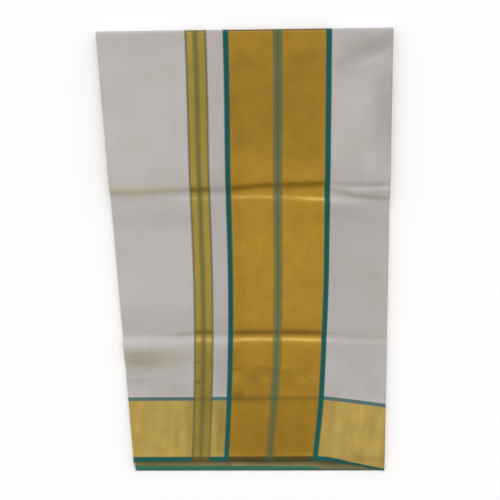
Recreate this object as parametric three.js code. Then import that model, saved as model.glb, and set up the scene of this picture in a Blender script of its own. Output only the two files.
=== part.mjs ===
// A cotton and gold-thread saree, folded for storage and laid flat, millimetres, +Z up.
// The long cloth is folded to and fro into a stack one panel wide, and the stack's top quarter is
// turned under itself. The cloth's width, selvedge to selvedge, runs along Y and round the turn.
// The origin is at the middle of the bundle's outline, on the surface that it lies on.
import * as THREE from "three";

// ---------- driving sizes ----------
const PANEL_WIDTH = 528; // from the left folds to the right ones
const BUNDLE_LENGTH = 884; // from the second panel's selvedge to the turned edge
const CLOTH_WIDTH = 1145; // selvedge to selvedge
const LEAN = 0.023; // how far the sides lean, for each millimetre along the bundle
const END_PANEL_SHORT_BY = 25; // how far the end panel's selvedge stops behind the second one's

const WALL = 1; // one thickness of cloth with the air it holds
const SEAM_GAP = 0.3; // from one shown panel to the next, and to the layers below
const HIDDEN_LAYERS = 8;
const HIDDEN_PITCH = 0.55; // from one hidden layer to the next, pressed by those above
const SLIT = 0.4; // between the stack and the quarter turned under it
const TURN_SQUASH = 0.85; // how flat the turned edge is pressed

const RAMP = { from: 65, to: 205 }; // where the stack climbs over the quarter turned under it
const FRONT_SAG = { by: 3.4, reach: 34 }; // how the stack thins out to its stepped selvedges

// ---------- sizes that follow ----------
const FRONT = -BUNDLE_LENGTH / 2;
const BACK = BUNDLE_LENGTH / 2;
const HIDDEN_THICK = HIDDEN_LAYERS * HIDDEN_PITCH;
const SECOND_LOW = HIDDEN_THICK + SEAM_GAP;
const SECOND_HIGH = SECOND_LOW + WALL;
const END_LOW = SECOND_HIGH + SEAM_GAP;
const STACK = END_LOW + WALL; // the whole stack's thickness
const TURN_START = BACK - (SLIT / 2 + STACK) * TURN_SQUASH;
const TURN_SPAN = 24; // the turn's share of the way along the cloth
const TURN_END = TURN_START + TURN_SPAN;
const TURNED_UNDER = CLOTH_WIDTH - (TURN_START - FRONT - END_PANEL_SHORT_BY) - TURN_SPAN;

// The storage creases are steps in the cloth's height. Each runs from left to right along the
// places `y`, where the cloth beyond it stands higher by `rise`, or lower where that is negative,
// and each is about four times `spread` wide. Two steps that face each other make a furrow.
const UPPER_FALL = {
  spread: 5,
  line: [
    { x: -266, y: 152, rise: 3.1 }, { x: -160, y: 155, rise: 3 }, { x: -60, y: 157, rise: 2.8 },
    { x: 30, y: 164, rise: 2.7 }, { x: 110, y: 165, rise: 3 }, { x: 150, y: 168, rise: 1.6 },
    { x: 175, y: 166, rise: 1 }, { x: 266, y: 166, rise: 1.3 },
  ],
};
const UPPER_RIDGE = {
  spread: 4.6,
  line: [
    { x: -266, y: 139, rise: 0 }, { x: -160, y: 139, rise: -0.4 }, { x: -97, y: 140, rise: -1.5 },
    { x: 0, y: 142, rise: -1.9 }, { x: 75, y: 141, rise: -2 }, { x: 130, y: 137, rise: -3.1 },
    { x: 175, y: 135, rise: -2.6 }, { x: 217, y: 131, rise: -1 }, { x: 266, y: 130, rise: 0 },
  ],
};
const SIDE_RIDGE = {
  spread: 3.5,
  line: [
    { x: -266, y: 157, rise: 0 }, { x: 158, y: 158, rise: 0 },
    { x: 200, y: 155, rise: -2 }, { x: 266, y: 157, rise: -1.6 },
  ],
};
const SIDE_FALL = {
  spread: 4,
  line: [
    { x: -266, y: 156, rise: 0 }, { x: 140, y: 156, rise: 0 }, { x: 165, y: 151, rise: 1.4 },
    { x: 205, y: 142, rise: 2.2 }, { x: 266, y: 137, rise: 2.4 },
  ],
};
const LOWER_FALL = {
  spread: 4.8,
  line: [
    { x: -266, y: -133, rise: 0.5 }, { x: -175, y: -133, rise: 0.9 }, { x: -107, y: -130, rise: 2.9 },
    { x: -60, y: -132, rise: 1 }, { x: 0, y: -131, rise: 2.9 }, { x: 115, y: -132, rise: 2.9 },
    { x: 165, y: -136, rise: 0.8 }, { x: 266, y: -141, rise: 0.4 },
  ],
};
const LOWER_RIDGE = {
  spread: 5.5,
  line: [
    { x: -266, y: -147, rise: -3.5 }, { x: -200, y: -147, rise: -2.4 }, { x: -107, y: -145, rise: -3.4 },
    { x: -60, y: -147, rise: -2.8 }, { x: 30, y: -145, rise: -3.3 }, { x: 115, y: -147, rise: -3.5 },
    { x: 165, y: -148, rise: -2.2 }, { x: 266, y: -151, rise: -1.4 },
  ],
};
const CREASES = [UPPER_FALL, UPPER_RIDGE, SIDE_RIDGE, SIDE_FALL, LOWER_FALL, LOWER_RIDGE];
const CREASE_FADE = 42; // how far from a crease the cloth comes back to its own height
const ROWS_FOLLOW = 60; // how far from a crease the rows still bend with its line

// Broad soft swells and hollows where the layers don't lie quite flat.
const SWELLS = [
  { x: -240, y: -159, reachX: 80, reachY: 18, rise: 1.8 },
  { x: -245, y: -212, reachX: 85, reachY: 18, rise: -1.4 },
  { x: 175, y: 305, reachX: 40, reachY: 55, rise: 1 },
  { x: 245, y: 275, reachX: 35, reachY: 40, rise: -1.2 },
  { x: 60, y: 10, reachX: 150, reachY: 70, rise: 0.6 },
  { x: 0, y: -228, reachX: 50, reachY: 18, rise: -0.7 },
];

// The end panel's selvedge droops towards the free end: how far, at each place across.
const DROOP = [
  { x: -266, by: 0 }, { x: 134, by: -1 }, { x: 172, by: 5 }, { x: 212, by: 12 }, { x: 266, by: 24 },
];
const SHORT_REACH = 70; // how far from a selvedge the rows close up where a layer stops short
const TURN_REACH = 70; // how far before the turned edge the creases and swells have faded out

// ---------- small helpers ----------
function smooth(from, to, at) {
  const share = Math.min(1, Math.max(0, (at - from) / (to - from)));
  return share * share * (3 - 2 * share);
}

// The value of a table's column at a place across the panel.
function along(table, x, column) {
  const next = table.findIndex((row) => row.x >= x);
  if (next === 0) return table[0][column];
  if (next < 0) return table[table.length - 1][column];
  const [a, b] = [table[next - 1], table[next]];
  return a[column] + ((b[column] - a[column]) * (x - a.x)) / (b.x - a.x);
}

// ---------- the bundle's form ----------
// The height of the stack's underside: on the surface, then over the quarter turned under it.
const underside = (y) => (STACK + SLIT) * smooth(RAMP.from, RAMP.to, y);

// How far the creases, the swells and the thinning front move the top of the stack.
function relief(x, y) {
  let rise = 0;
  for (const crease of CREASES) {
    const beyond = y - along(crease.line, x, "y");
    const share = Math.tanh(beyond / crease.spread) * Math.exp(-((beyond / CREASE_FADE) ** 2));
    rise += 0.5 * along(crease.line, x, "rise") * share;
  }
  for (const { x: atX, y: atY, reachX, reachY, rise: swell } of SWELLS)
    rise += swell * Math.exp(-(((x - atX) / reachX) ** 2) - ((y - atY) / reachY) ** 2);
  rise *= smooth(TURN_START, TURN_START - TURN_REACH, y);
  return rise - FRONT_SAG.by * (1 - smooth(FRONT, FRONT + FRONT_SAG.reach, y));
}

// Rows follow the two longest crease lines: where the row `way` lies at a place across the panel.
function rowAt(x, way) {
  let y = way;
  for (const { line } of [UPPER_FALL, LOWER_FALL]) {
    const middle = along(line, 0, "y");
    y += (along(line, x, "y") - middle) * Math.max(0, 1 - Math.abs(way - middle) / ROWS_FOLLOW);
  }
  return y;
}

// A point of the bundle. `across` is its place along X at the bundle's middle, `way` is how far
// along the cloth's width it lies, round the turn, and `depth` is its height in the stack.
function place(across, way, depth) {
  if (way <= TURN_START) {
    const y = rowAt(across, way);
    const share = Math.min(1, depth / HIDDEN_THICK);
    return new THREE.Vector3(across - LEAN * y, y, underside(y) + depth + share * relief(across, y));
  }
  if (way < TURN_END) {
    const angle = (Math.PI * (way - TURN_START)) / TURN_SPAN;
    const radius = SLIT / 2 + depth;
    const y = TURN_START + radius * Math.sin(angle) * TURN_SQUASH;
    return new THREE.Vector3(across - LEAN * y, y, STACK + SLIT / 2 + radius * Math.cos(angle));
  }
  const y = TURN_START - (way - TURN_END);
  const outer = STACK - HIDDEN_THICK; // the two shown panels keep their thickness here
  const inner = underside(y) - SLIT - outer;
  const z = depth >= HIDDEN_THICK ? STACK - depth : outer + inner * (1 - depth / HIDDEN_THICK);
  return new THREE.Vector3(across - LEAN * y, y, z);
}

// ---------- rows and columns ----------
const COLUMN_SHARES = [0, 0.12, 0.25, 0.38, 0.5, 0.63, 0.75, 0.83, 0.91, 1]; // closer at the droop
const FRONT_ROWS = [FRONT, -435, -428, -421, -414, -406, -372, -300, -240];
const LOWER_ROWS = [-208, -188, -170, -158, -152, -147, -142, -137, -132, -127, -121, -112];
const MIDDLE_ROWS = [-60, 10];
const UPPER_ROWS = [75, 105, 122, 130, 137, 143, 149, 155, 160, 166, 172, 182, 205];
const BACK_ROWS = [265, 345];
const TURN_ROWS = 6;
const TURNED_ROWS = [345, 265, 205]; // where the quarter turned under has its rows
const LAST_ROW_GAP = 4; // the least room left before the last row

function rowsTo(lastWay) {
  const rows = [...FRONT_ROWS, ...LOWER_ROWS, ...MIDDLE_ROWS, ...UPPER_ROWS, ...BACK_ROWS];
  for (let i = 0; i <= TURN_ROWS; i++) rows.push(TURN_START + (TURN_SPAN * i) / TURN_ROWS);
  for (const y of TURNED_ROWS) {
    const way = TURN_END + TURN_START - y;
    if (way < lastWay - LAST_ROW_GAP) rows.push(way);
  }
  rows.push(lastWay);
  return rows;
}

// A row's way when its layer stops short of the others at its two selvedges.
function shortened(way, atFront, atBack, lastWay) {
  const nearFront = Math.max(0, 1 - (way - FRONT) / SHORT_REACH);
  const nearBack = Math.max(0, 1 - (lastWay - way) / SHORT_REACH);
  return way + atFront * nearFront - atBack * nearBack;
}

const columnsBetween = (from, to) => COLUMN_SHARES.map((share) => from + (to - from) * share);

// ---------- closed geometry from a grid of columns, rows and levels ----------
// point(i, j, k) gives the place of column i, row j, level k. The lowest and highest levels are
// whole faces, and the levels between them are rings round the edge.
function closedSheet(columns, rows, levels, point) {
  const positions = [];
  const numbers = new Map();
  function vertex(i, j, k) {
    const key = `${i},${j},${k}`;
    if (!numbers.has(key)) {
      numbers.set(key, positions.length / 3);
      positions.push(...point(i, j, k).toArray());
    }
    return numbers.get(key);
  }
  const faces = [];
  const quad = (a, b, c, d) => faces.push(a, b, c, a, c, d);
  const [I, J, K] = [columns - 1, rows - 1, levels - 1];
  for (let i = 0; i < I; i++)
    for (let j = 0; j < J; j++) {
      quad(vertex(i, j, K), vertex(i + 1, j, K), vertex(i + 1, j + 1, K), vertex(i, j + 1, K));
      quad(vertex(i, j, 0), vertex(i, j + 1, 0), vertex(i + 1, j + 1, 0), vertex(i + 1, j, 0));
    }
  const rim = [];
  for (let i = 0; i < I; i++) rim.push([i, 0]);
  for (let j = 0; j < J; j++) rim.push([I, j]);
  for (let i = I; i > 0; i--) rim.push([i, J]);
  for (let j = J; j > 0; j--) rim.push([0, j]);
  for (let k = 0; k < K; k++)
    rim.forEach(([i, j], n) => {
      const [ni, nj] = rim[(n + 1) % rim.length];
      quad(vertex(i, j, k), vertex(ni, nj, k), vertex(ni, nj, k + 1), vertex(i, j, k + 1));
    });
  const geometry = new THREE.BufferGeometry();
  geometry.setAttribute("position", new THREE.Float32BufferAttribute(positions, 3));
  geometry.setIndex(faces);
  geometry.computeVertexNormals();
  return geometry;
}

// ---------- the pieces ----------
const FOLD_OUTER = WALL + SEAM_GAP / 2; // the outer radius of a fold between two panels
const FOLD_STEPS = 4;
const FOLD_LEVEL = END_LOW - SEAM_GAP / 2; // the middle of the fold's height in the stack
const SIDE_LEFT = -PANEL_WIDTH / 2;
const SIDE_RIGHT = PANEL_WIDTH / 2;

// The last panel of the saree's length: face up from its drooping selvedge, round the turned edge
// and under to its other selvedge. Its left side rolls over into the second panel.
function endPanel() {
  const flat = columnsBetween(SIDE_LEFT + FOLD_OUTER, SIDE_RIGHT);
  const lastWay = TURN_END + TURNED_UNDER;
  const rows = rowsTo(lastWay);
  return closedSheet(FOLD_STEPS + flat.length, rows.length, 2, (i, j, k) => {
    const turn = Math.max(0, FOLD_STEPS - i) * (Math.PI / FOLD_STEPS);
    const radius = FOLD_OUTER - WALL * (1 - k);
    const across = flat[Math.max(0, i - FOLD_STEPS)] - radius * Math.sin(turn);
    const depth = FOLD_LEVEL + radius * Math.cos(turn);
    const short = END_PANEL_SHORT_BY - along(DROOP, across, "by");
    return place(across, shortened(rows[j], short, 0, lastWay), depth);
  });
}

// The panel under it, whose border shows below the end panel's selvedge.
function secondPanel() {
  const columns = columnsBetween(SIDE_LEFT + FOLD_OUTER + SEAM_GAP, SIDE_RIGHT - WALL);
  const rows = rowsTo(TURN_END + TURNED_UNDER - END_PANEL_SHORT_BY);
  return closedSheet(columns.length, rows.length, 2, (i, j, k) =>
    place(columns[i], rows[j], k ? SECOND_HIGH : SECOND_LOW));
}

// The eight layers below, as one solid. Level by level its sides are the rounded folds of two
// layers each, one layer out of step from left to right, and its ends are the layers' selvedges.
const FOLD_NOTCH = 1.6; // how deep the groove between two folds is
const SELVEDGE_NOTCH = 1.2;
const SIDE_SETS = [
  { layer: 0, left: 3.2, right: 2.0, front: 15 },
  { layer: 1, left: 3.2, right: 4.2, front: 12 },
  { layer: 2, left: 1.4, right: 4.2, front: 14 },
  { layer: 3, left: 1.4, right: 1.6, front: 9 },
  { layer: 4, left: 4.4, right: 1.6, front: 11 },
  { layer: 5, left: 4.4, right: 3.4, front: 6 },
  { layer: 6, left: 2.0, right: 3.4, front: 7 },
  { layer: 7, left: 2.0, right: 1.2, front: 3 },
];

function foldedLayers() {
  const columns = columnsBetween(SIDE_LEFT, SIDE_RIGHT);
  const rows = rowsTo(TURN_END + TURNED_UNDER);
  const levels = 2 * HIDDEN_LAYERS + 1;
  return closedSheet(columns.length, rows.length, levels, (i, j, k) => {
    const set = SIDE_SETS[Math.min(HIDDEN_LAYERS - 1, Math.floor(k / 2))];
    const boundary = k % 2 === 0;
    const evenBoundary = boundary && k % 4 === 0;
    const leftNotch = evenBoundary ? FOLD_NOTCH : 0;
    const rightNotch = boundary && !evenBoundary ? FOLD_NOTCH : 0;
    let across = columns[i];
    if (i === 0) across += set.left + leftNotch;
    if (i === columns.length - 1) across -= set.right + rightNotch;
    const short = set.front + (boundary ? SELVEDGE_NOTCH : 0);
    const way = shortened(rows[j], short, short, rows[rows.length - 1]);
    return place(across, way, (k * HIDDEN_PITCH) / 2);
  });
}

// ---------- materials and the group ----------
const cream = new THREE.MeshStandardMaterial({ color: 0xb7b1ab, roughness: 0.85, metalness: 0 });
const creamUnder = new THREE.MeshStandardMaterial({ color: 0xafa89f, roughness: 0.88, metalness: 0 });
const gold = new THREE.MeshStandardMaterial({ color: 0xa07c2c, roughness: 0.45, metalness: 0.4 });

const saree = new THREE.Group();
saree.name = "folded_saree";

function add(name, geometry, material) {
  const mesh = new THREE.Mesh(geometry, material);
  mesh.name = name;
  saree.add(mesh);
}

add("end_panel", endPanel(), cream);
add("second_panel", secondPanel(), gold);
add("folded_layers", foldedLayers(), creamUnder);

export default saree;
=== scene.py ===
import math

import bpy
import numpy as np
from mathutils import Matrix


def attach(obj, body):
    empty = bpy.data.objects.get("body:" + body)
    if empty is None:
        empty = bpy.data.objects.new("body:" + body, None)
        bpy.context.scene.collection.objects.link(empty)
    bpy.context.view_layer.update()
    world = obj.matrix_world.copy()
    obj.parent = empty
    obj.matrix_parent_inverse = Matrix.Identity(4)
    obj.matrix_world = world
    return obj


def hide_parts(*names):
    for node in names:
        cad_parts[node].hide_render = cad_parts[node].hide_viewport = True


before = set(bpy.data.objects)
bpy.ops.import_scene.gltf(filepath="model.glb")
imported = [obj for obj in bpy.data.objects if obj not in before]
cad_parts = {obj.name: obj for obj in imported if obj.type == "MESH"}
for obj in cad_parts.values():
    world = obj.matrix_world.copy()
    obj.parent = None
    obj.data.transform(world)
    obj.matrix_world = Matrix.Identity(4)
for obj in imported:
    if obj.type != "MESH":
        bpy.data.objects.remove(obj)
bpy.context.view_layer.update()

MM = 0.001

# ---------- the camera, above the far half, looking a little towards the front ----------
CAMERA_PLACE = (14.8, 299.6, 1135.9)
CAMERA_TURNS = (-13.0, 0.92, -0.43)  # degrees about X, Y and Z
FRAME_PIXELS = 500
FOCAL_PIXELS = 600
SENSOR = 36.0
NEAREST, FARTHEST = 0.05, 50.0  # what the camera sees, in metres from it


def make_camera():
    data = bpy.data.cameras.new("camera")
    data.sensor_width = SENSOR
    data.lens = SENSOR * FOCAL_PIXELS / FRAME_PIXELS
    data.clip_start, data.clip_end = NEAREST, FARTHEST
    camera = bpy.data.objects.new("camera", data)
    bpy.context.scene.collection.objects.link(camera)
    turn = Matrix.Identity(3)
    for degrees, axis in zip(CAMERA_TURNS, "XYZ"):
        turn = turn @ Matrix.Rotation(math.radians(degrees), 3, axis)
    camera.matrix_world = Matrix.Translation([v * MM for v in CAMERA_PLACE]) @ turn.to_4x4()
    bpy.context.scene.camera = camera


make_camera()

# ---------- sizes, as in the solids ----------
PANEL_WIDTH = 528.0
BUNDLE_LENGTH = 884.0
CLOTH_WIDTH = 1145.0
LEAN = 0.023  # how far the sides lean to the left, for each step along Y
END_PANEL_SHORT_BY = 25.0  # how far the second panel's border peeks out in front
SLIT = 0.4  # between the stack and the quarter of it that is turned under
TURN_SQUASH = 0.85  # how far the turned edge reaches, as a share of a half circle
RAMP = (65.0, 205.0)  # where the stack climbs onto that quarter, along Y
FRONT_SAG, SAG_REACH = 3.4, 34.0  # how the stack thins towards its front
HIDDEN_LAYERS = 8
HIDDEN_PITCH = 0.55  # from one hidden layer to the next
HIDDEN_THICK = HIDDEN_LAYERS * HIDDEN_PITCH
SHOWN_THICK = 2.6  # the room of the two panels that show
STACK = HIDDEN_THICK + SHOWN_THICK
FRONT, BACK = -BUNDLE_LENGTH / 2, BUNDLE_LENGTH / 2
TURN_START = BACK - (SLIT / 2 + STACK) * TURN_SQUASH
TURN_SPAN = 24.0  # the cloth that goes round the turned edge
TURN_END = TURN_START + TURN_SPAN
TURNED_UNDER = CLOTH_WIDTH - (TURN_START - FRONT - END_PANEL_SHORT_BY) - TURN_SPAN
LAST_WAY = TURN_END + TURNED_UNDER
LEFT, RIGHT = -PANEL_WIDTH / 2, PANEL_WIDTH / 2

SHOWN_CLOTH = 0.6  # thickness of the cloth, and room for air, of the two panels that show
HIDDEN_CLOTH = 0.36
END_DEPTH = STACK - SHOWN_CLOTH / 2  # the middle of the end panel's cloth
SECOND_DEPTH = HIDDEN_THICK + 0.6  # the middle of the second panel's cloth

# ---------- creases and swells ----------
# Each crease is a step in the cloth's height along the places y: the cloth beyond it stands
# higher by rise, and spread is a quarter of its width. Columns: x, y, rise, spread.
CREASES = {
    "upper fall": [
        (-266, 152.5, 5.0, 5.5), (-240, 152.5, 5.0, 5.5), (-200, 153, 4.3, 5.5),
        (-150, 155.4, 4.6, 5.7), (-107, 157, 4.3, 5), (-60, 157, 4.0, 6), (-20, 160, 4.0, 5.5),
        (10, 163.3, 3.9, 5), (30, 164, 3.8, 4.8), (75, 165, 4.9, 6.6), (115, 165.5, 4.5, 6.2),
        (140, 167, 3.4, 4.6), (155, 170, 1.8, 3.6), (175, 166, 1.3, 3.4), (200, 164, 1.4, 3.2),
        (240, 165.5, 2.0, 3.2), (266, 166, 1.9, 3.2),
    ],
    "upper ridge": [
        (-266, 139, 0, 4), (-180, 139, 0, 4), (-150, 140, -0.9, 4), (-107, 140, -2.4, 4),
        (-60, 142, -1.4, 4.5), (-20, 142, -3.0, 4.5), (10, 143.5, -2.5, 4.2),
        (30, 142.5, -3.0, 4.5), (75, 141, -2.3, 5), (110, 138, -4.4, 5.6), (140, 137, -5.0, 6),
        (165, 136.5, -5.2, 6.2), (200, 133, -3.6, 5), (225, 131, -1.2, 5), (266, 130, 0, 5),
    ],
    "side ridge": [
        (-266, 157, 0, 3.4), (158, 159, 0, 3.4), (180, 156.5, -1.9, 3.4), (200, 155, -2.8, 3.4),
        (240, 156, -2.7, 3.4), (266, 157, -2.3, 3.2),
    ],
    "side fall": [
        (-266, 156, 0, 3.6), (138, 156, 0.2, 3.6), (150, 155.5, 1.2, 3.6), (165, 152.5, 1.6, 3.6),
        (185, 147, 2.4, 3.4), (205, 142.5, 2.9, 3.5), (240, 139, 3.7, 4.4), (266, 137, 3.4, 4.4),
    ],
    "corner fall": [
        (-266, 151, 0, 2.6), (222, 151, 0, 2.6), (244, 150, 0.9, 2.6), (266, 149, 1.5, 2.6),
    ],
    "lower fall": [
        (-266, -134, 0.6, 4), (-200, -131, 0.7, 4), (-175, -133, 1.2, 4.4),
        (-150, -134.5, 2.9, 4.5), (-107, -129.7, 4.2, 5), (-82, -130, 2.6, 5), (-60, -132, 0.8, 4),
        (-45, -132, 2.6, 5), (-20, -131, 4.2, 5), (30, -130.6, 4.2, 5), (75, -130.8, 4.5, 5.3),
        (115, -132, 4.2, 4.8), (145, -133, 2.6, 4.5), (165, -136, 1.1, 4), (200, -139.5, 1.1, 4.5),
        (266, -142, 0.5, 4),
    ],
    "lower ridge": [
        (-266, -147, -5.0, 8), (-200, -147, -3.4, 8), (-150, -146.5, -3.0, 7),
        (-107, -144.7, -5.2, 6), (-60, -147.5, -4.0, 7), (-20, -144.8, -5.0, 5.2),
        (10, -145, -4.5, 5), (75, -145.3, -4.7, 5), (115, -146.9, -5.0, 5), (145, -147, -4.2, 5),
        (165, -148, -3.2, 5.5), (200, -151, -1.9, 4.5), (266, -151, -2.0, 4),
    ],
}
CREASE_FADE = 42.0  # how far from its step a crease is felt
# The ridges' bright edges get a painted highlight: paler gold along them.
HIGHLIGHTED_CREASES = ("upper ridge", "lower ridge")
HIGHLIGHT_RISE, HIGHLIGHT_REACH = 5.0, 3.2  # the rise of an edge with the full painted highlight, and how wide that highlight is
RELIEF_FADE = 70.0  # the creases and swells die out over this length before the turned edge

# Broad swells and hollows. Columns: x, y, reach along, reach across, degrees turned, rise.
SWELLS = [
    (-240, -157, 80, 17, 0, 2.3), (-245, -212, 85, 18, 2, -2.0), (-150, -245, 60, 22, 0, 0.5),
    (-238, -228, 34, 7, 3, 0.6), (-60, -160, 26, 16, 0, 1.2), (-60, -205, 30, 26, 0, -0.9),
    (168, -178, 28, 26, 0, -1.2), (60, 10, 150, 70, 0, 0.6), (205, 95, 60, 22, 0, -0.9),
    (220, 412, 60, 15, 29, -1.6), (218, 380, 55, 13, 22, 1.5), (232, 345, 45, 12, 29, -1.2),
    (165, 395, 16, 30, 0, -0.9), (240, 275, 26, 36, 0, -1.5), (175, 300, 26, 50, 0, 1.2),
    (168, 225, 30, 26, 0, 1.4), (168, 180, 26, 14, 0, -1.0), (-215, 232, 90, 40, 0, 0.6),
    (-225, 400, 60, 20, 10, -0.8), (10, -228, 26, 13, 0, -0.9), (98, -222, 14, 12, 20, -0.7),
    (35, -205, 40, 8, -8, 0.5), (-60, 190, 24, 22, 0, 1.0), (120, -215, 120, 40, 0, 0.4),
    (-111, -195, 9, 4, -5, -0.4), (-112, -238, 9, 4, -28, -0.8), (-96, -214, 12, 5, 8, -0.4),
    (20, 345, 60, 16, 12, 0.6), (90, 275, 50, 18, 20, -0.6), (-10, 240, 40, 14, -10, -0.5),
]
SWELL_POWER, TONE_POWER = 2, 4  # how flat the middle of a swell and of a change of tone is

# Faint irregular waves. Columns: seed, how many, their least and greatest length, their height.
WAVES = [(3, 16, 60, 190, 0.16), (8, 20, 18, 50, 0.03)]

# How far the end panel's selvedge droops towards its free end. Columns: x, droop.
DROOP = [(-266, 0), (100, -1.2), (134, -1.6), (150, 0.5), (172, 4.6), (212, 12.4), (266, 24.3)]
SELVEDGE_LIFT, LIFT_REACH = 1.8, 22.0  # how its selvedge stands off the panel beneath
DROOP_REACH = 467.0  # it has died out this far from the selvedge

# How much of a front selvedge's woven pattern is moved in as though rolled under, or woven wider
# where negative; only the pattern moves, not the cloth. Columns: x, width.
END_ROLL = [(-266, -0.8), (100, -0.4), (150, 0), (175, 1.0), (191, 3.5), (233, 5.0), (266, 5.5)]
SECOND_ROLL = [(-266, -1.6), (0, -1.2), (80, 0), (112, 0.5), (142, 7.6), (266, 8.2)]
ROLL_REACH = 60.0  # the roll is evened out over this width of cloth

# How the woven bands wander from straight lines. The wide band's left edge, and all that lies left
# of it, bows to the left towards the front and waves a little behind. The band is a little wider
# near the border's line, and narrows towards the back.
BOW_START, BOW, BOW_POWER = 3.0, 18.2, 1.9  # from this place along Y, and so far at the front
BAND_REST, BAND_WAVE, BAND_WAVE_LENGTH = 0.75, 0.45, 350.0
FLARE, FLARE_PLACE, FLARE_REACH = 1.8, -295.0, 90.0
TAPER, TAPER_SPAN = 3.1, (90.0, 430.0)
# How much further the threads along its middle wander. Columns: y, shift along X.
THREAD_WANDER = [
    (-442, -2.9), (-411, -3.0), (-371, -3.8), (-330, -3.1), (-289, -2.0), (-248, -1.2),
    (-200, -0.6), (136, -0.8), (300, -0.2), (442, 0),
]


def smooth(low, high, at):
    """A soft step from 0 at low to 1 at high."""
    share = np.clip((at - low) / (high - low), 0, 1)
    return share * share * (3 - 2 * share)


def along(rows, at, column):
    """A column of a table at a place in its first column, straight between its rows."""
    places = np.array([row[0] for row in rows], float)
    values = np.array([row[column] for row in rows], float)
    return np.interp(at, places, values)


def waves(x, y, seed, count, least, most, height):
    """The height of waves of one row of WAVES, which run in all directions, at x and y."""
    random = np.random.default_rng(seed)
    total = np.zeros(np.broadcast(x, y).shape)
    for _ in range(count):
        turn, phase = random.uniform(0, 2 * math.pi, 2)
        length = random.uniform(least, most)
        total += np.sin((x * math.cos(turn) + y * math.sin(turn)) * 2 * math.pi / length + phase)
    return total * height / math.sqrt(count)


def spread_of(patch, x, y, power):
    """How strongly a patch of a table is felt at x and y: 1 in its middle, and 0 far from it."""
    at_x, at_y, reach_along, reach_across, degrees = patch[:5]
    cosine, sine = math.cos(math.radians(degrees)), math.sin(math.radians(degrees))
    ahead = ((x - at_x) * cosine + (y - at_y) * sine) / reach_along
    aside = ((y - at_y) * cosine - (x - at_x) * sine) / reach_across
    return np.exp(-(np.abs(ahead) ** power) - np.abs(aside) ** power)


def relief(x, y):
    """How far the creases, swells and the thinning front move the top of the stack."""
    rise = np.zeros(np.broadcast(x, y).shape)
    for rows in CREASES.values():
        beyond = y - along(rows, x, 1)
        rise += 0.5 * along(rows, x, 2) * np.tanh(beyond / along(rows, x, 3)) * np.exp(
            -((beyond / CREASE_FADE) ** 2)
        )
    for patch in SWELLS:
        rise += patch[-1] * spread_of(patch, x, y, SWELL_POWER)
    for row in WAVES:
        rise += waves(x, y, *row)
    rise *= smooth(TURN_START, TURN_START - RELIEF_FADE, y)
    return rise - FRONT_SAG * (1 - smooth(FRONT, FRONT + SAG_REACH, y))


def tones(rows, x, y):
    """1, and how far a table's patches darken or lighten the cloth at x and y."""
    return 1 + sum(patch[-1] * spread_of(patch, x, y, TONE_POWER) for patch in rows)


def painted_crease_highlight(x, y):
    """How strongly the creases' bright edges get a painted highlight: paler gold thread along
    them.
    """
    painted_highlight = np.zeros(np.broadcast(x, y).shape)
    for label in HIGHLIGHTED_CREASES:
        rows = CREASES[label]
        beyond = y - along(rows, x, 1)
        painted_highlight += -along(rows, x, 2) / HIGHLIGHT_RISE * np.exp(-((beyond / HIGHLIGHT_REACH) ** 2))
    return painted_highlight


def underside(y):
    """The height of the stack's underside, where it lies on the quarter turned under."""
    return (STACK + SLIT) * smooth(RAMP[0], RAMP[1], y)


def place(across, way, depth):
    """The x, y and z of points of the bundle, in millimetres."""
    across, way, depth = np.broadcast_arrays(across, way, depth)
    angle = math.pi * np.clip((way - TURN_START) / TURN_SPAN, 0, 1)
    radius = SLIT / 2 + depth
    beneath = way >= TURN_END
    y = np.where(way <= TURN_START, way, TURN_START + radius * np.sin(angle) * TURN_SQUASH)
    y = np.where(beneath, TURN_START - (way - TURN_END), y)
    x = across - LEAN * y
    share = np.minimum(1, depth / HIDDEN_THICK)
    above = underside(y) + depth + share * relief(across, y)
    turning = STACK + SLIT / 2 + radius * np.cos(angle)
    inner = underside(y) - SLIT - SHOWN_THICK
    below = np.where(depth >= HIDDEN_THICK, STACK - depth, SHOWN_THICK + inner * (1 - share))
    z = np.where(way <= TURN_START, above, np.where(beneath, below, turning))
    return x, y, z


# ---------- rows along the cloth's width ----------
FRONT_ROWS = 60.0  # the rows are closer over this length from the front
LOWER_CREASE, UPPER_CREASE = (-260, -120), (90, 205)  # and closest about the creases
TURN_ROWS = 14  # how many go round the turned edge
LOOSER = 1.5  # how much further apart they are at the front, and on the quarter beneath
# How far apart they are about the creases, and elsewhere.
END_ROWS, SECOND_ROWS, HIDDEN_ROWS = (2.0, 5.0), (4.0, 9.0), (6.0, 11.0)


def stretch(low, high, step):
    """Even places from low up to high, without high itself."""
    count = max(1, round((high - low) / step))
    return [low + (high - low) * i / count for i in range(count)]


def rows_of(fine, coarse):
    """Row places from the front selvedge to the other one, closer at the creases."""
    rows = stretch(FRONT, FRONT + FRONT_ROWS, fine * LOOSER)
    rows += stretch(FRONT + FRONT_ROWS, LOWER_CREASE[0], coarse) + stretch(*LOWER_CREASE, fine)
    rows += stretch(LOWER_CREASE[1], UPPER_CREASE[0], coarse) + stretch(*UPPER_CREASE, fine)
    rows += stretch(UPPER_CREASE[1], TURN_START, coarse)
    rows += stretch(TURN_START, TURN_END, TURN_SPAN / TURN_ROWS)
    rows += stretch(TURN_END, LAST_WAY, coarse * LOOSER) + [LAST_WAY]
    return np.array(rows)


# ---------- a folded length of cloth ----------
STAGGER_REACH = 70.0  # a layer that stops short is moved back over this width only


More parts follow.
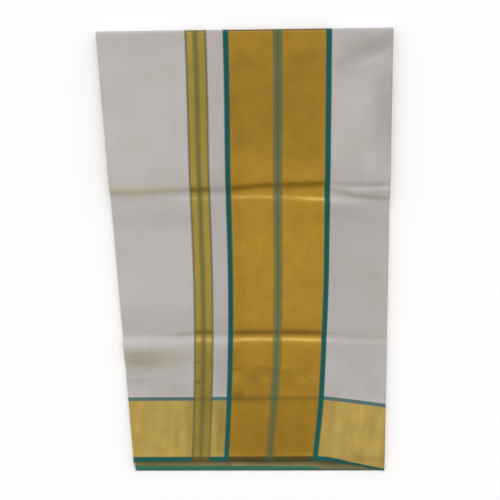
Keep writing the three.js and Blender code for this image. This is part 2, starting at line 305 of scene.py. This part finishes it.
class Path:
    """The middle of the cloth, from its free end on: a line to and fro in across and depth."""

    def __init__(self, along_cloth):
        self.points = []  # across, depth, short at the front, short at the back
        self.start = along_cloth

    def run(self, from_x, to_x, depth, count, short=(0, 0)):
        """A flat stretch; short is how far its two ends stop short, at the front and back."""
        for i in range(count + 1):
            x = from_x + (to_x - from_x) * i / count
            self.points.append((x, depth, short[0], short[1]))

    def fold(self, side, edge, depth, to_depth, short=(0, 0), to_short=(0, 0), count=8):
        """A rounded fold at the left (side -1) or right (1), its outermost point at edge."""
        radius = abs(depth - to_depth) / 2
        middle = (depth + to_depth) / 2
        for i in range(1, count):
            angle = math.pi * i / count
            share = i / count
            self.points.append((
                edge - side * radius + side * radius * math.sin(angle),
                middle + (depth - middle) * math.cos(angle),
                short[0] + (to_short[0] - short[0]) * share,
                short[1] + (to_short[1] - short[1]) * share,
            ))

    def arrays(self):
        """The points, how far along the saree each is, and the cloth's normal at each."""
        points = np.array(self.points)
        step = np.diff(points[:, :2], axis=0)
        length = np.concatenate([[0], np.cumsum(np.hypot(step[:, 0], step[:, 1]))])
        tangent = np.gradient(points[:, :2], axis=0)
        tangent /= np.linalg.norm(tangent, axis=1)[:, None]
        return points, self.start + length, np.stack([-tangent[:, 1], tangent[:, 0]], 1)


def shell_faces(count_rows, count):
    """The faces of a closed shell: an upper grid of vertices, a lower one, and their rim."""
    number = np.arange(count_rows * count).reshape(count_rows, count)
    lower = number + count_rows * count
    a, b, c, d = number[:-1, :-1], number[:-1, 1:], number[1:, 1:], number[1:, :-1]
    faces = [np.stack([a, d, c, b], -1).reshape(-1, 4)]
    a, b, c, d = lower[:-1, :-1], lower[:-1, 1:], lower[1:, 1:], lower[1:, :-1]
    faces.append(np.stack([a, b, c, d], -1).reshape(-1, 4))
    rim = np.concatenate([number[0, :-1], number[:-1, -1], number[-1, :0:-1], number[:0:-1, 0]])
    below = rim + count_rows * count
    faces.append(np.stack([rim, np.roll(rim, -1), np.roll(below, -1), below], -1))
    return np.concatenate(faces)


def band_wander(y):
    """How far the wide band's left edge wanders along X, and how much wider the band is."""
    ahead = np.clip((BOW_START - y) / (BOW_START - FRONT), 0, None)
    behind = np.maximum(0, y - BOW_START)
    wave = BAND_WAVE * np.cos(2 * math.pi * behind / BAND_WAVE_LENGTH)
    left = BAND_REST + wave - BOW * ahead**BOW_POWER
    flare = FLARE * np.exp(-(((y - FLARE_PLACE) / FLARE_REACH) ** 2))
    return left, flare - TAPER * smooth(*TAPER_SPAN, y)


def band_place(run, middle_y):
    """Where the woven bands take a point of the cloth to be, across the end panel."""
    band = np.broadcast_to((RIGHT - run)[None, :], middle_y.shape) - LEAN * middle_y
    share = np.clip((band - WIDE_BAND[0]) / (WIDE_BAND[1] - WIDE_BAND[0]), 0, 1)
    left, wider = band_wander(middle_y)
    halfway = 4 * share * (1 - share)  # 0 at the wide band's edges, and 1 half way between them
    threads = along(THREAD_WANDER, middle_y, 1) * halfway
    return band - left - wider * share - threads


def mark(mesh, label, values):
    """Keeps a number at each vertex, the same on the upper and the lower grid."""
    attribute = mesh.attributes.new(label, "FLOAT", "POINT")
    attribute.data.foreach_set("value", np.concatenate([values.ravel(), values.ravel()]))


def cloth_mesh(
    name, path, rows, thickness, selvedge, shade_and_tone_tables=((), ()), roll=None, droop=None, lift=0.0
):
    """A thin closed sheet along a path, with its woven coordinates as the UV map "cloth"."""
    points, run, normal = path.arrays()
    across = points[None, :, 0]
    near_front = np.maximum(0, 1 - (rows - FRONT) / STAGGER_REACH)[:, None]
    near_back = np.maximum(0, 1 - (LAST_WAY - rows) / STAGGER_REACH)[:, None]
    way = rows[:, None] + points[None, :, 2] * near_front - points[None, :, 3] * near_back
    woven = way - selvedge
    if droop is not None:
        fade = np.clip(1 - woven / DROOP_REACH, 0, 1)
        way = way - along(droop, across, 1) * fade
    sides = []
    for half in (0.5, -0.5):
        moved = points[:, :2] - half * thickness * normal
        sides.append(np.stack(place(moved[None, :, 0], way, moved[None, :, 1]), -1))
        sides[-1][..., 2] += lift * (1 - smooth(0, LIFT_REACH, woven))
    vertices = np.concatenate([side.reshape(-1, 3) for side in sides]) * MM
    mesh = bpy.data.meshes.new(name)
    mesh.from_pydata(vertices.tolist(), [], shell_faces(*way.shape).tolist())
    mesh.validate()

    middle_x, middle_y, _ = place(across, way, points[None, :, 1])
    if roll is not None:
        woven = woven + along(roll, across, 1) * (1 - smooth(0, ROLL_REACH, woven))
    woven_at = np.stack([band_place(run, middle_y), woven], -1).reshape(-1, 2) * MM
    woven_at = np.concatenate([woven_at, woven_at])
    corner = np.empty(len(mesh.loops), int)
    mesh.loops.foreach_get("vertex_index", corner)
    layer = mesh.uv_layers.new(name="cloth")
    layer.data.foreach_set("uv", woven_at[corner].ravel())

    upper = way < TURN_END
    # Painted shade and painted light, mixed with the cloth's uneven tone, kept at each vertex of
    # the upper side.
    for label, table in zip(("cream_shade_and_tone", "gold_shade_and_tone"), shade_and_tone_tables):
        mark(mesh, label, np.where(upper, tones(table, middle_x, middle_y), 1.0))
    # A painted highlight along the creases' bright edges.
    mark(mesh, "painted_highlight", np.where(upper, painted_crease_highlight(across, middle_y), 0.0))
    # Painted warm shade: yellower cream in the hollow and the crease.
    painted_warm_shade = np.clip(tones(WARM_SHADE_PATCHES, middle_x, middle_y) - 1, 0, 1)
    mark(mesh, "painted_warm_shade", np.where(upper, painted_warm_shade, 0.0))
    mesh.polygons.foreach_set("use_smooth", np.ones(len(mesh.polygons), bool))
    obj = bpy.data.objects.new(name, mesh)
    bpy.context.scene.collection.objects.link(obj)
    return obj


# ---------- the weave: colours and threads ----------
def linear(red, green, blue):
    """A screen colour, 0 to 255, as the shader's linear one."""
    return tuple(
        c / 255 / 12.92 if c / 255 <= 0.04045 else ((c / 255 + 0.055) / 1.055) ** 2.4
        for c in (red, green, blue)
    ) + (1.0,)


CREAM = linear(184, 181, 182)
CREAM_WARM = linear(180, 175, 171)
# The cream in painted warm shade, yellower.
CREAM_IN_WARM_SHADE = linear(187, 180, 164)
TEAL = linear(4, 82, 77)
GREEN = linear(30, 91, 71)
OLIVE = linear(70, 78, 50)
HEM_GREEN = linear(38, 66, 34)
BORDER_GOLD = linear(187, 160, 82)
WIDE_GOLD = linear(183, 142, 42)
# Paler gold for the painted highlight on the creases' bright edges.
HIGHLIGHT_GOLD = linear(196, 170, 112)
NARROW_GOLD = linear(169, 149, 66)
# The second panel's border gold, darker: painted shade from the end panel lying over it.
SHADED_BORDER_GOLD = linear(131, 122, 84)
PALE_TEAL = linear(44, 108, 92)

# The cross bands of the end panel, by their places across the bundle, in millimetres. A number
# that ends in SOFT is half the width over which an edge fades.
WIDE_BAND = (-43.4, 143.2)
WIDE_EDGE, WIDE_EDGE_SOFT = 10.6, 1.8
NARROW_BAND = (-114.8, -79.2)
NARROW_EDGE, NARROW_EDGE_SOFT, NARROW_EDGE_SHARE = 4.2, 1.8, 0.70
# Coloured threads beside a band's centre line. Columns: place from it, width, share of colour.
WIDE_CENTRE, NARROW_CENTRE = 50.5, -97.7
WIDE_THREADS = [(0, 7.0, 0.80), (4.8, 7.4, 0.62), (9.3, 1.6, 0.30)]
NARROW_THREADS = [(0, 3.8, 0.72), (3.4, 4.2, 0.46)]
THREAD_SOFT = 0.8
OLIVE_IN_BORDER = 0.55  # share of olive in the green threads where they cross the border
# The border along each selvedge: how far its lines are from the edge.
PAST_EDGE = -5  # a place outside the cloth, so that what starts there has no edge on it
SELVEDGE_LINE, SELVEDGE_LINE_SOFT = 10.4, 1.0
BORDER_TOP, BORDER_TOP_SOFT, BORDER_TOP_SHARE = (139.0, 147.2), 1.2, 0.83
# How the border's two lines show through where the cross bands cover them.
LINES_IN_BANDS = 0.08  # share of their teal that is left
HEM_DARK_AND_SHADE, CROSSING_DARK = 0.55, 0.86  # the gold over the selvedge's line, partly painted shade along the selvedge's edge, and over the upper one
HEM_GREEN_SHARE = 0.5  # in the wide band, over the selvedge's line
HIGHLIGHT_SHARE = 0.45  # of paler gold, the painted highlight, on an edge where it is full

# The cloth's grain. Columns: its size across and along the woven width in millimetres, detail.
STREAKS = (7, 300, 3.0)
SLUBS = (0.9, 46, 2.0)
CLOUDS = (70, 90, 3.0)
FLECKS = (1.6, 1.6, 2.0)
GLOSS = (22, 110, 2.5)
MOTTLE = (26, 34, 4.0)
# What the grain does to the colour. Columns: the noise from and to, the change from and to.
CLOUD_CHANGE = (0.35, 0.75, 0.0, 1.0)
MOTTLE_CHANGE = (0.25, 0.75, 0.93, 1.06)
GLOSS_CHANGE = (0.25, 0.75, 0.89, 1.09)
STREAK_CHANGE = (0.25, 0.75, 0.982, 1.018)
SLUB_CHANGE = (0.2, 0.8, -0.022, 0.022)
FLECK_CHANGE = (0.2, 0.8, -0.02, 0.02)

# How metal-like the gold thread is, and how rough the cloth is without it and with it.
BAND_METAL, BORDER_METAL = 0.86, 0.45
PLAIN_ROUGHNESS, METAL_ROUGHNESS = 0.86, 0.37
BAND_COAT, DOUBLED_COAT = 0.28, 0.15  # doubled: where a band lies over the border
COAT_ROUGHNESS = 0.22
SPECULAR = 0.25
SHEEN, SHEEN_ROUGHNESS = 0.12, 0.5
# The relief of the weave: the step from thread to thread, and how its bumps are weighed.
THREAD_PITCH = 0.62
THREAD_HEIGHT, SLUB_HEIGHT = 0.25, 1.2
BUMP_STRENGTH, BUMP_DISTANCE = 0.35, 0.12

# Where the cream or the gold is a little darker or lighter than elsewhere: partly the cloth's
# uneven tone, and partly painted shade and painted light, such as shade in hollows and creases and
# a darker band along the turned edge against its highlight.
# Columns: x, y, reach along, reach across, degrees turned, change.
CREAM_SHADE_AND_TONE = [
    (-242, -188, 50, 20, 0, -0.11), (-190, -181, 72, 16, 3, -0.09), (-244, -226, 32, 16, 4, -0.08),
    (-190, -215, 84, 42, 0, -0.09), (-190, -108, 90, 32, 0, -0.07), (-190, 101, 92, 19, 0, -0.06),
    (-190, 426, 96, 22, 0, -0.05), (-225, 240, 62, 48, 0, 0.03), (-61, 60, 19, 520, 0, -0.10),
    (-60, -222, 20, 32, 0, -0.10), (-60, -114, 20, 20, 0, -0.06), (207, -55, 68, 230, 0, -0.10),
    (162, -20, 13, 150, 0, -0.04), (225, 80, 50, 34, 0, -0.05), (215, 160, 60, 24, 0, -0.04),
    (252, 285, 26, 90, 0, -0.13), (232, 414, 60, 14, 29, -0.12), (235, 345, 48, 9, 29, -0.06),
    (172, 378, 28, 22, 20, -0.10), (20, 441, 400, 4.5, 0, -0.12), (-20, -2, 300, 480, 0, -0.03),
    (200, 421, 70, 24, 0, -0.08), (196, 404, 34, 20, 20, -0.05), (-140, -256, 24, 14, 0, -0.06),
    (-60, -258, 20, 12, 0, -0.05), (178, -256, 26, 16, 0, -0.04), (162, 376, 12, 14, 0, -0.07),
    (248, 408, 16, 20, 0, -0.05), (212, 250, 26, 26, 0, -0.04), (246, -252, 20, 16, 0, -0.05),
    (246, 320, 24, 56, 0, -0.04),
]
# The gold's patches, also partly painted shade and painted light: the wide band's darker top,
# shade along the selvedge and at small wrinkles.
GOLD_SHADE_AND_TONE = [
    (50, 322, 140, 116, 0, -0.26), (100, 380, 40, 30, 20, -0.04), (36, -226, 50, 26, 0, -0.07),
    (24, -242, 24, 7, 0, -0.06), (50, -372, 100, 96, 0, -0.12), (50, 441, 400, 4.5, 0, -0.5),
    (-98, -250, 24, 70, 0, -0.12), (-112, -195, 7, 3, -5, -0.20), (-112, -238, 8, 3, -28, -0.32),
    (-30, 60, 14, 340, 0, -0.08), (-20, -411, 300, 8, 0, -0.20), (30, -276, 120, 9, 0, -0.12),
    (-66, -350, 13, 80, 0, -0.25), (-132, -345, 10, 80, 0, -0.16), (200, -345, 34, 52, 0, 0.06),
    (-35, -208, 9, 3.5, 15, -0.24), (1, -233, 15, 10, -20, -0.13), (-33, -266, 13, 9, 0, -0.18),
    (40, -266, 12, 5, 0, -0.12), (108, -228, 17, 4, -31, -0.12), (102, 396, 30, 12, 15, -0.07),
    (0, 395, 34, 22, 0, -0.04), (95, 215, 56, 24, 0, -0.08), (50, 432, 110, 13, 0, -0.10),
    (0, -262, 42, 20, 0, -0.08), (-97, 310, 24, 130, 0, -0.08),
]
# The second panel's strip: painted shadow below the end panel's selvedge, with lighter and darker
# streaks along it. Columns as above.
SECOND_SHADE_AND_TONE = [
    (-100, -420, 170, 3.2, 0, -0.25), (50, -420, 90, 3.6, 0, -0.45), (195, -420, 60, 8, 0, -0.35),
    (60, -428, 86, 3.4, 0, 0.35), (-30, -428, 20, 5, 0, 0.2), (-90, -427, 14, 3, 0, -0.15),
    (-250, -424, 14, 5, 0, 0.15), (-130, -429, 100, 2.4, 0, 0.22), (-190, -424, 80, 8, 0, -0.12),
    (150, -424, 30, 8, 0, -0.12),
]
# Painted warm shade: the cream is yellower in the hollow below the lower crease and in the upper
# crease. Columns as above, but the last is the share of the yellower colour.
WARM_SHADE_PATCHES = [(-222, -187, 96, 23, 3, 0.85), (-215, 155, 80, 9, 0, 0.8)]


class Weave:
    """Short names for the shader's nodes."""

    def __init__(self, tree):
        self.tree = tree

    def node(self, kind, **inputs):
        """A new node, with some of its inputs set or linked."""
        made = self.tree.nodes.new(kind)
        for name, value in inputs.items():
            self.feed(made.inputs[name], value)
        return made

    def feed(self, socket, value):
        if isinstance(value, bpy.types.NodeSocket):
            self.tree.links.new(value, socket)
        else:
            socket.default_value = value

    def math(self, operation, *values):
        made = self.tree.nodes.new("ShaderNodeMath")
        made.operation = operation
        for socket, value in zip(made.inputs, values):
            self.feed(socket, value)
        return made.outputs[0]

    def mix(self, share, first, second):
        """The first colour, with a share of the second."""
        made = self.tree.nodes.new("ShaderNodeMix")
        made.data_type = "RGBA"
        self.feed(made.inputs["Factor"], share)
        self.feed(made.inputs["A"], first)
        self.feed(made.inputs["B"], second)
        return made.outputs["Result"]

    def ramp(self, value, low, high, to_low=0.0, to_high=1.0):
        """From to_low to to_high while a value goes from low to high, held beyond them."""
        made = self.tree.nodes.new("ShaderNodeMapRange")
        made.interpolation_type = "SMOOTHSTEP"
        for name, number in (
            ("Value", value), ("From Min", low), ("From Max", high),
            ("To Min", to_low), ("To Max", to_high),
        ):
            self.feed(made.inputs[name], number)
        return made.outputs["Result"]

    def over(self, mask, off, on):
        """One number where a mask is 0, and another where it is 1."""
        return self.ramp(mask, 0, 1, off, on)

    def between(self, value, low, high, soft=0.5):
        """1 between two places in millimetres, and 0 outside them."""
        rise = self.ramp(value, (low - soft) * MM, (low + soft) * MM)
        fall = self.ramp(value, (high - soft) * MM, (high + soft) * MM, 1.0, 0.0)
        return self.math("MULTIPLY", rise, fall)

    def line(self, value, middle, width, soft):
        return self.between(value, middle - width / 2, middle + width / 2, soft)

    def largest(self, *masks):
        total = masks[0]
        for mask in masks[1:]:
            total = self.math("MAXIMUM", total, mask)
        return total

    def noise(self, place, across, along_width, detail):
        """Noise of a given size across and along the woven width, in millimetres."""
        made = self.node("ShaderNodeMapping", Vector=place)
        made.inputs["Scale"].default_value = (1 / (across * MM), 1 / (along_width * MM), 1)
        place = made.outputs["Vector"]
        made = self.node("ShaderNodeTexNoise", Vector=place, Scale=1.0, Detail=detail)
        made.inputs["Roughness"].default_value = 0.5
        return made.outputs["Fac"]

    def scaled(self, colour, amount):
        made = self.tree.nodes.new("ShaderNodeVectorMath")
        made.operation = "SCALE"
        self.feed(made.inputs[0], colour)
        self.feed(made.inputs["Scale"], amount)
        return made.outputs["Vector"]

    def mix_number(self, share, first, second):
        made = self.tree.nodes.new("ShaderNodeMix")
        self.feed(made.inputs["Factor"], share)
        self.feed(made.inputs["A"], first)
        self.feed(made.inputs["B"], second)
        return made.outputs["Result"]

    def kept(self, label):
        """The numbers that mark kept under a label."""
        made = self.tree.nodes.new("ShaderNodeAttribute")
        made.attribute_name = label
        return made.outputs["Fac"]


class Pattern:
    """Where the bands, the border and their coloured threads lie: masks of 0 to 1."""

    def __init__(self, weave, band, width):
        self.weave, self.band = weave, band
        edge = weave.math("MINIMUM", width, weave.math("SUBTRACT", CLOTH_WIDTH * MM, width))
        self.wide = weave.between(band, *WIDE_BAND)
        self.narrow = weave.between(band, *NARROW_BAND)
        self.bands = weave.largest(self.wide, self.narrow)
        self.border = weave.between(edge, PAST_EDGE, BORDER_TOP[0])
        self.plain_border = weave.math(
            "MULTIPLY", self.border, weave.over(self.bands, 1.0, 0.0)
        )
        self.golden = weave.largest(self.bands, self.border)

        selvedge_line = weave.between(edge, PAST_EDGE, SELVEDGE_LINE, SELVEDGE_LINE_SOFT)
        top_line = weave.between(edge, *BORDER_TOP, BORDER_TOP_SOFT)
        self.hem = weave.math("MULTIPLY", selvedge_line, self.bands)
        self.wide_hem = weave.math("MULTIPLY", selvedge_line, self.wide)
        self.crossing = weave.math("MULTIPLY", top_line, self.bands)
        self.border_lines = weave.math(
            "MULTIPLY",
            weave.largest(selvedge_line, weave.math("MULTIPLY", top_line, BORDER_TOP_SHARE)),
            weave.over(self.bands, 1.0, LINES_IN_BANDS),
        )
        self.wide_edges = self.edges(WIDE_BAND, WIDE_EDGE, WIDE_EDGE_SOFT)
        self.wide_threads = self.threads(WIDE_CENTRE, WIDE_THREADS)
        narrow_edges = self.edges(NARROW_BAND, NARROW_EDGE, NARROW_EDGE_SOFT)
        self.narrow_threads = weave.largest(
            weave.math("MULTIPLY", narrow_edges, NARROW_EDGE_SHARE),
            self.threads(NARROW_CENTRE, NARROW_THREADS),
        )
        self.coloured = weave.largest(
            self.border_lines, self.narrow_threads, self.wide_threads, self.wide_edges
        )

    def edges(self, places, size, soft):
        return self.weave.largest(*(self.weave.line(self.band, at, size, soft) for at in places))

    def threads(self, centre, table):
        weave = self.weave
        beside = weave.math("ABSOLUTE", weave.math("SUBTRACT", self.band, centre * MM))
        return weave.largest(*(
            weave.math("MULTIPLY", weave.line(beside, at, size, THREAD_SOFT), share)
            for at, size, share in table
        ))


def cloth_colour(weave, pattern, cloth, slubs, border_gold, border_teal):
    plain = weave.mix(weave.ramp(weave.noise(cloth, *CLOUDS), *CLOUD_CHANGE), CREAM, CREAM_WARM)
    # Painted warm shade: yellower cream in the hollow and the crease.
    plain = weave.mix(weave.kept("painted_warm_shade"), plain, CREAM_IN_WARM_SHADE)
    # Painted shade and painted light with the cream's uneven tone.
    plain = weave.scaled(plain, weave.kept("cream_shade_and_tone"))

    gold = weave.mix(pattern.wide, border_gold, WIDE_GOLD)
    gold = weave.mix(pattern.narrow, gold, NARROW_GOLD)
    gold = weave.scaled(gold, weave.ramp(weave.noise(cloth, *MOTTLE), *MOTTLE_CHANGE))
    # Painted shade and painted light with the gold's uneven tone.
    gold = weave.scaled(gold, weave.kept("gold_shade_and_tone"))
    # A painted highlight: paler gold along the creases' bright edges.
    painted_highlight = weave.math("MULTIPLY", weave.kept("painted_highlight"), HIGHLIGHT_SHARE)
    gold = weave.mix(painted_highlight, gold, HIGHLIGHT_GOLD)
    patchy = weave.ramp(weave.noise(cloth, *GLOSS), *GLOSS_CHANGE)
    gold = weave.scaled(gold, weave.mix_number(pattern.plain_border, 1.0, patchy))

    colour = weave.mix(pattern.golden, plain, gold)
    # Darker gold over the selvedge's line, partly painted shade along the selvedge's edge.
    colour = weave.scaled(colour, weave.over(pattern.hem, 1.0, HEM_DARK_AND_SHADE))
    green_hem = weave.math("MULTIPLY", pattern.wide_hem, HEM_GREEN_SHARE)
    colour = weave.mix(green_hem, colour, HEM_GREEN)
    colour = weave.scaled(colour, weave.over(pattern.crossing, 1.0, CROSSING_DARK))
    colour = weave.mix(pattern.border_lines, colour, border_teal)
    colour = weave.mix(pattern.narrow_threads, colour, OLIVE)
    olive_share = weave.math("MULTIPLY", pattern.border, OLIVE_IN_BORDER)
    colour = weave.mix(pattern.wide_threads, colour, weave.mix(olive_share, GREEN, OLIVE))
    colour = weave.mix(pattern.wide_edges, colour, TEAL)

    streaks, flecks = (weave.noise(cloth, *grain) for grain in (STREAKS, FLECKS))
    shade = weave.math("ADD", weave.ramp(streaks, *STREAK_CHANGE), weave.ramp(slubs, *SLUB_CHANGE))
    shade = weave.math("ADD", shade, weave.ramp(flecks, *FLECK_CHANGE))
    return weave.scaled(colour, shade)


def cloth_material(name, border_gold, border_teal):
    material = bpy.data.materials.new(name)
    material.use_nodes = True
    tree = material.node_tree
    shader = tree.nodes["Principled BSDF"]
    weave = Weave(tree)
    uv = weave.node("ShaderNodeUVMap")
    uv.uv_map = "cloth"
    cloth = uv.outputs["UV"]
    split = weave.node("ShaderNodeSeparateXYZ", Vector=cloth)
    band, width = split.outputs["X"], split.outputs["Y"]
    pattern = Pattern(weave, band, width)
    slubs = weave.noise(cloth, *SLUBS)
    colour = cloth_colour(weave, pattern, cloth, slubs, border_gold, border_teal)
    weave.feed(shader.inputs["Base Color"], colour)

    # Gold thread glints as metal does, and less where it runs along the border.
    metal = weave.math("MULTIPLY", pattern.golden, weave.over(pattern.coloured, 1.0, 0.0))
    share = weave.over(pattern.plain_border, BAND_METAL, BORDER_METAL)
    metal = weave.math("MULTIPLY", metal, share)
    weave.feed(shader.inputs["Metallic"], metal)
    rough = weave.ramp(metal, 0, BAND_METAL, PLAIN_ROUGHNESS, METAL_ROUGHNESS)
    weave.feed(shader.inputs["Roughness"], rough)
    doubled = weave.math("MULTIPLY", pattern.border, pattern.bands)
    shine = weave.math("MULTIPLY", metal, weave.over(doubled, BAND_COAT, DOUBLED_COAT))
    weave.feed(shader.inputs["Coat Weight"], shine)
    shader.inputs["Coat Roughness"].default_value = COAT_ROUGHNESS
    shader.inputs["Specular IOR Level"].default_value = SPECULAR
    shader.inputs["Sheen Weight"].default_value = SHEEN
    shader.inputs["Sheen Roughness"].default_value = SHEEN_ROUGHNESS

    # A plain weave: threads over and under, with the slubs standing a little proud.
    turns = 2 * math.pi / (THREAD_PITCH * MM)
    over, under = (
        weave.math("SINE", weave.math("MULTIPLY", at, turns)) for at in (band, width)
    )
    grid = weave.math("MULTIPLY", weave.math("MULTIPLY", over, under), THREAD_HEIGHT)
    height = weave.math("ADD", grid, weave.math("MULTIPLY", slubs, SLUB_HEIGHT))
    bump = weave.node("ShaderNodeBump", Height=height)
    bump.inputs["Strength"].default_value = BUMP_STRENGTH
    bump.inputs["Distance"].default_value = BUMP_DISTANCE * MM
    weave.feed(shader.inputs["Normal"], bump.outputs["Normal"])
    return material


# ---------- the pieces ----------
# How far each hidden layer stops short. Columns: at its left and right folds, and its front end.
HIDDEN_SIDES = [
    (3.2, 2.0, 15), (3.2, 4.2, 12), (1.4, 4.2, 14), (1.4, 1.6, 9),
    (4.4, 1.6, 11), (4.4, 3.4, 6), (2.0, 3.4, 7), (2.0, 1.2, 3),
]
HIDDEN_INSET = 0.2  # and this much more, so that its folds stay inside the bundle's outline
LIP = 1.0  # how far the end panel's cloth goes on beneath its left fold
SECOND_LEFT, SECOND_RIGHT = LEFT + 3.0, RIGHT - 2.0  # the second panel's flat stretch
SECOND_FOLD = RIGHT - 1.2  # the outermost point of its right fold
SECOND_END, HIDDEN_START = RIGHT - 6.0, RIGHT - 7.0  # where it ends, and the next layer starts
END_COLUMNS, SECOND_COLUMNS, HIDDEN_COLUMNS, HIDDEN_FOLD_STEPS = 104, 60, 14, 6


def dress(obj, material, node):
    obj.data.materials.append(material)
    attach(obj, "root")
    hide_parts(node)


def end_panel():
    """From the free end at the right to the fold at the left, and its lip over the next panel."""
    half = SHOWN_CLOTH / 2
    turn = LEFT + half + (END_DEPTH - SECOND_DEPTH) / 2
    short = (END_PANEL_SHORT_BY, 0)
    path = Path(0.0)
    path.run(RIGHT - half, turn, END_DEPTH, END_COLUMNS, short)
    path.fold(-1, LEFT + half, END_DEPTH, SECOND_DEPTH, short, (0, 0))
    path.run(turn, turn + LIP, SECOND_DEPTH, 1)
    return cloth_mesh(
        "end_panel_cloth", path, rows_of(*END_ROWS), SHOWN_CLOTH, FRONT + END_PANEL_SHORT_BY,
        (CREAM_SHADE_AND_TONE, GOLD_SHADE_AND_TONE), END_ROLL, DROOP, SELVEDGE_LIFT,
    )


def second_panel():
    """The next panel, whose border peeks out in front, and its fold at the right."""
    top_hidden = HIDDEN_THICK - HIDDEN_PITCH / 2
    path = Path(PANEL_WIDTH)
    path.run(SECOND_LEFT, SECOND_RIGHT, SECOND_DEPTH, SECOND_COLUMNS)
    path.fold(1, SECOND_FOLD, SECOND_DEPTH, top_hidden)
    path.run(SECOND_RIGHT, SECOND_END, top_hidden, 1)
    return cloth_mesh(
        "second_panel_cloth", path, rows_of(*SECOND_ROWS), SHOWN_CLOTH, FRONT,
        ((), SECOND_SHADE_AND_TONE), SECOND_ROLL,
    )


def folded_layers():
    """The eight layers below, folded to and fro."""
    path = Path(2 * PANEL_WIDTH)
    side = -1
    from_x = HIDDEN_START
    for layer in reversed(range(HIDDEN_LAYERS)):
        left, right, front = HIDDEN_SIDES[layer]
        depth = (layer + 0.5) * HIDDEN_PITCH
        edge = LEFT + left + HIDDEN_INSET if side < 0 else RIGHT - right - HIDDEN_INSET
        to_x = edge - side * (HIDDEN_PITCH / 2 if layer else 0)
        path.run(from_x, to_x, depth, HIDDEN_COLUMNS, (front, front))
        if layer:
            below = HIDDEN_SIDES[layer - 1][2]
            path.fold(side, edge, depth, depth - HIDDEN_PITCH, (front, front), (below, below),
                      HIDDEN_FOLD_STEPS)
        from_x = to_x
        side = -side
    return cloth_mesh("folded_layers_cloth", path, rows_of(*HIDDEN_ROWS), HIDDEN_CLOTH, FRONT)


dress(end_panel(), cloth_material("end_panel_weave", BORDER_GOLD, TEAL),
      "end_panel")
# The second panel's border gold is a darker copy: painted shade.
dress(second_panel(), cloth_material("second_panel_weave", SHADED_BORDER_GOLD, PALE_TEAL),
      "second_panel")
dress(folded_layers(), cloth_material("folded_layers_weave", BORDER_GOLD, TEAL),
      "folded_layers")

# ---------- floor and light ----------
FLOOR_HALF, FLOOR_DROP = 40.0, 0.0003  # metres, so that it has no edge in view and is just clear
FLOOR_COLOUR = (0.95, 0.965, 1.0, 1)
FLOOR_ROUGHNESS, FLOOR_SPECULAR = 0.9, 0.1


def make_floor():
    corners = [(-1, -1), (1, -1), (1, 1), (-1, 1)]
    mesh = bpy.data.meshes.new("floor")
    mesh.from_pydata([(FLOOR_HALF * x, FLOOR_HALF * y, 0) for x, y in corners], [], [(0, 1, 2, 3)])
    floor = bpy.data.objects.new("floor", mesh)
    floor.location.z = -FLOOR_DROP
    bpy.context.scene.collection.objects.link(floor)
    material = bpy.data.materials.new("pale_floor")
    material.use_nodes = True
    shader = material.node_tree.nodes["Principled BSDF"]
    shader.inputs["Base Color"].default_value = FLOOR_COLOUR
    shader.inputs["Roughness"].default_value = FLOOR_ROUGHNESS
    shader.inputs["Specular IOR Level"].default_value = FLOOR_SPECULAR
    mesh.materials.append(material)


# The studio is lit all round, with a softbox beyond the turned edge and a dim side facing it.
# Columns: how far the direction points along Y from and to, brightness from and to.
DIM_SIDE = (-0.8, -0.3, 0.2, 0.6)
SOFTBOX = (0.42, 0.70, 0.0, 1.66)
HORIZON = (0.76, 0.93, 1.0, 0.0)  # where the softbox ends again, towards the horizon
DIM_TINT = (1.0, 0.90, 0.62, 1.0)
PLAIN_TINT = (1.0, 0.96, 0.90, 1.0)
SOFTBOX_TINT = (0.95, 0.98, 1.03)
BACKDROP = (0.70, 0.70, 0.695, 1.0)  # what the camera sees beyond the floor
BRIGHTNESS = 1.42


def make_light():
    world = bpy.data.worlds.new("studio")
    bpy.context.scene.world = world
    world.use_nodes = True
    light = Weave(world.node_tree)
    background = world.node_tree.nodes["Background"]
    toward = light.node("ShaderNodeTexCoord").outputs["Generated"]
    toward = light.node("ShaderNodeSeparateXYZ", Vector=toward).outputs["Y"]
    total = light.tree.nodes.new("ShaderNodeVectorMath")
    tint = light.mix(light.ramp(toward, *DIM_SIDE[:2]), DIM_TINT, PLAIN_TINT)
    light.feed(total.inputs[0], light.scaled(tint, light.ramp(toward, *DIM_SIDE)))
    softbox = light.math("MULTIPLY", light.ramp(toward, *SOFTBOX), light.ramp(toward, *HORIZON))
    light.feed(total.inputs[1], light.scaled(SOFTBOX_TINT, softbox))
    seen = light.node("ShaderNodeLightPath").outputs["Is Camera Ray"]
    light.feed(background.inputs["Color"], light.mix(seen, total.outputs["Vector"], BACKDROP))
    background.inputs["Strength"].default_value = BRIGHTNESS
    scene = bpy.context.scene
    scene.view_settings.view_transform = "Standard"
    scene.view_settings.look = "None"
    scene.view_settings.exposure = 0.0


make_floor()
make_light()
